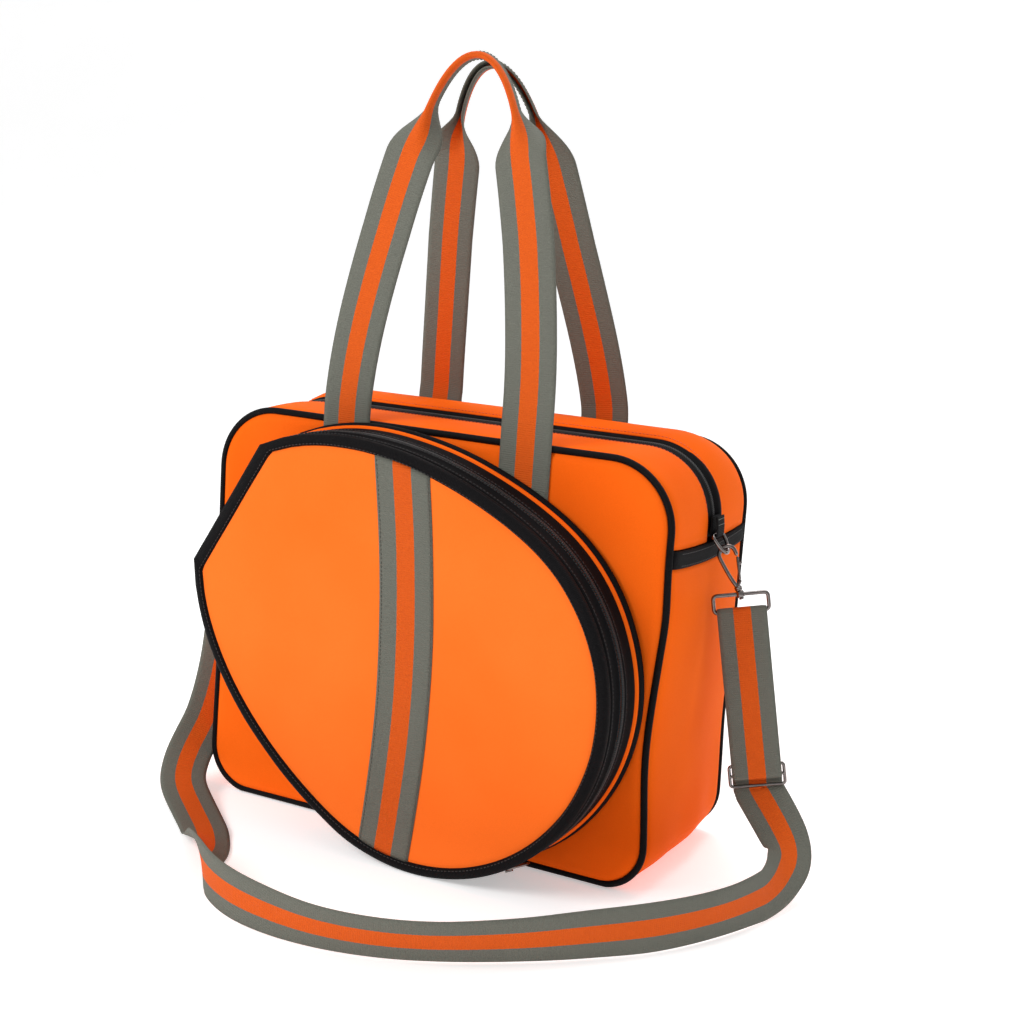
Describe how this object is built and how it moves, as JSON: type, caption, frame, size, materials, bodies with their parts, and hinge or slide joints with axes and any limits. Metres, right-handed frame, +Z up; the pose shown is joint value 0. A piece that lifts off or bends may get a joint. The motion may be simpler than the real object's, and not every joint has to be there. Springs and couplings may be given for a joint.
{
  "type": "paddle case",
  "caption": "Soft zipped tote for rackets: boxy padded body, racket-head pocket on its front, webbing handles and a clip-on shoulder strap.",
  "frame": {"origin": "middle of the bag body's base, on the floor", "axes": "+Z up, +X to the right along the front, -Y out of the front, which carries the racket pocket"},
  "size_m": [0.5769, 0.4029, 0.6436],
  "materials": {
    "neoprene": "smooth matte knitted face over foam, bright orange",
    "binding": "black woven binding and piping",
    "zip_tape": "black woven zip tape with a moulded coil",
    "webbing": "ribbed webbing, grey with an orange stripe down its middle",
    "gunmetal": "dark plated, glossy"
  },
  "bodies": {
    "bag": {"front_panel": "neoprene", "rear_panel": "neoprene", "lower_gusset": "neoprene", "top_gusset_front": "neoprene", "top_gusset_rear": "neoprene", "pocket_face": "neoprene", "pocket_base_strip": "neoprene", "side_band_right": "binding", "side_band_left": "binding", "front_piping": "binding", "rear_piping": "binding", "pocket_binding": "binding", "pocket_base_piping": "binding", "ring_tab_right": "binding", "ring_tab_left": "binding", "main_zip_tape_front": "zip_tape", "main_zip_tape_rear": "zip_tape", "main_zip_teeth": "zip_tape", "pocket_zip_tape_inner": "zip_tape", "pocket_zip_tape_outer": "zip_tape", "pocket_zip_teeth": "zip_tape", "pocket_stripe": "webbing", "front_handle_end_left": "webbing", "front_handle_end_right": "webbing", "rear_handle_end_left": "webbing", "rear_handle_end_right": "webbing", "shoulder_strap": "webbing", "strap_return": "webbing"},
    "front_handle": {"front_handle": "webbing"},
    "rear_handle": {"rear_handle": "webbing"},
    "main_zip_slider": {"main_zip_slider": "gunmetal"},
    "main_zip_puller": {"main_zip_puller": "gunmetal"},
    "pocket_zip_slider": {"pocket_zip_slider": "gunmetal"},
    "pocket_zip_puller": {"pocket_zip_puller": "gunmetal"},
    "strap_adjuster": {"strap_adjuster": "gunmetal"},
    "d_ring_right": {"d_ring_right": "gunmetal"},
    "strap_loop_right": {"strap_loop_right": "gunmetal"},
    "hook_right": {"hook_right": "gunmetal"},
    "gate_right": {"gate_right": "gunmetal"},
    "d_ring_left": {"d_ring_left": "gunmetal"},
    "strap_loop_left": {"strap_loop_left": "gunmetal"},
    "hook_left": {"hook_left": "gunmetal"},
    "gate_left": {"gate_left": "gunmetal"}
  },
  "joints": [
    {"name": "front_handle_swing", "type": "hinge", "parent": "bag", "child": "front_handle", "pos_m": [0, -0.0885, 0.349], "axis": [1, 0, 0], "range_deg": [-2, 100]},
    {"name": "rear_handle_swing", "type": "hinge", "parent": "bag", "child": "rear_handle", "pos_m": [0, 0.0885, 0.349], "axis": [1, 0, 0], "range_deg": [-172, 1]},
    {"name": "main_zip_slide", "type": "slide", "parent": "bag", "child": "main_zip_slider", "axis": [1, 0, 0], "range_m": [0, 0.26]},
    {"name": "main_zip_puller_flip", "type": "hinge", "parent": "main_zip_slider", "child": "main_zip_puller", "pos_m": [-0.13, 0, 0.3499], "axis": [0, 1, 0], "range_deg": [0, 160]},
    {"name": "pocket_zip_travel", "type": "hinge", "parent": "bag", "child": "pocket_zip_slider", "pos_m": [0.039, -0.1208, 0.1568], "axis": [0, -1, 0], "range_deg": [0, 121]},
    {"name": "pocket_zip_puller_flip", "type": "hinge", "parent": "pocket_zip_slider", "child": "pocket_zip_puller", "pos_m": [0.10953, -0.1208, 0.01218], "axis": [0, 1, 0], "range_deg": [0, 100]},
    {"name": "strap_adjuster_slide", "type": "slide", "parent": "bag", "child": "strap_adjuster", "axis": [-0.1908, 0, 0.9816], "range_m": [0, 0.08], "deforming": ["strap_return"]},
    {"name": "d_ring_right_swing", "type": "hinge", "parent": "bag", "child": "d_ring_right", "pos_m": [0.2147, 0, 0.28], "axis": [0, 1, 0], "range_deg": [-1.5, 1.5]},
    {"name": "strap_loop_right_swing", "type": "hinge", "parent": "bag", "child": "strap_loop_right", "pos_m": [0.24111, 0, 0.22091], "axis": [0.9094, 0.3765, 0.1768], "range_deg": [-1, 1]},
    {"name": "hook_right_swivel", "type": "hinge", "parent": "strap_loop_right", "child": "hook_right", "pos_m": [0.23824, 0, 0.23511], "axis": [0.4067, 0, -0.9135], "range_deg": [-8, 8]},
    {"name": "gate_right_spring", "type": "hinge", "parent": "hook_right", "child": "gate_right", "pos_m": [0.23727, 0.00155, 0.24693], "axis": [0.3363, -0.9298, 0.1497], "range_deg": [0, 20], "stiffness_Nm_per_rad": 0.004, "springref_deg": -17.19},
    {"name": "d_ring_left_swing", "type": "hinge", "parent": "bag", "child": "d_ring_left", "pos_m": [-0.2147, 0, 0.28], "axis": [0, 1, 0], "range_deg": [-1.5, 1.5]},
    {"name": "strap_loop_left_swing", "type": "hinge", "parent": "bag", "child": "strap_loop_left", "pos_m": [-0.23471, -0.01079, 0.22014], "axis": [0.8762, 0.4208, -0.2347], "range_deg": [-1, 1]},
    {"name": "hook_left_swivel", "type": "hinge", "parent": "strap_loop_left", "child": "hook_left", "pos_m": [-0.23291, -0.00676, 0.23395], "axis": [-0.2494, -0.1995, -0.9476], "range_deg": [-8, 8]},
    {"name": "gate_left_spring", "type": "hinge", "parent": "hook_left", "child": "gate_left", "pos_m": [-0.22647, -0.00286, 0.24325], "axis": [0.438, -0.896, 0.0734], "range_deg": [0, 20], "stiffness_Nm_per_rad": 0.004, "springref_deg": -17.19}
  ]
}
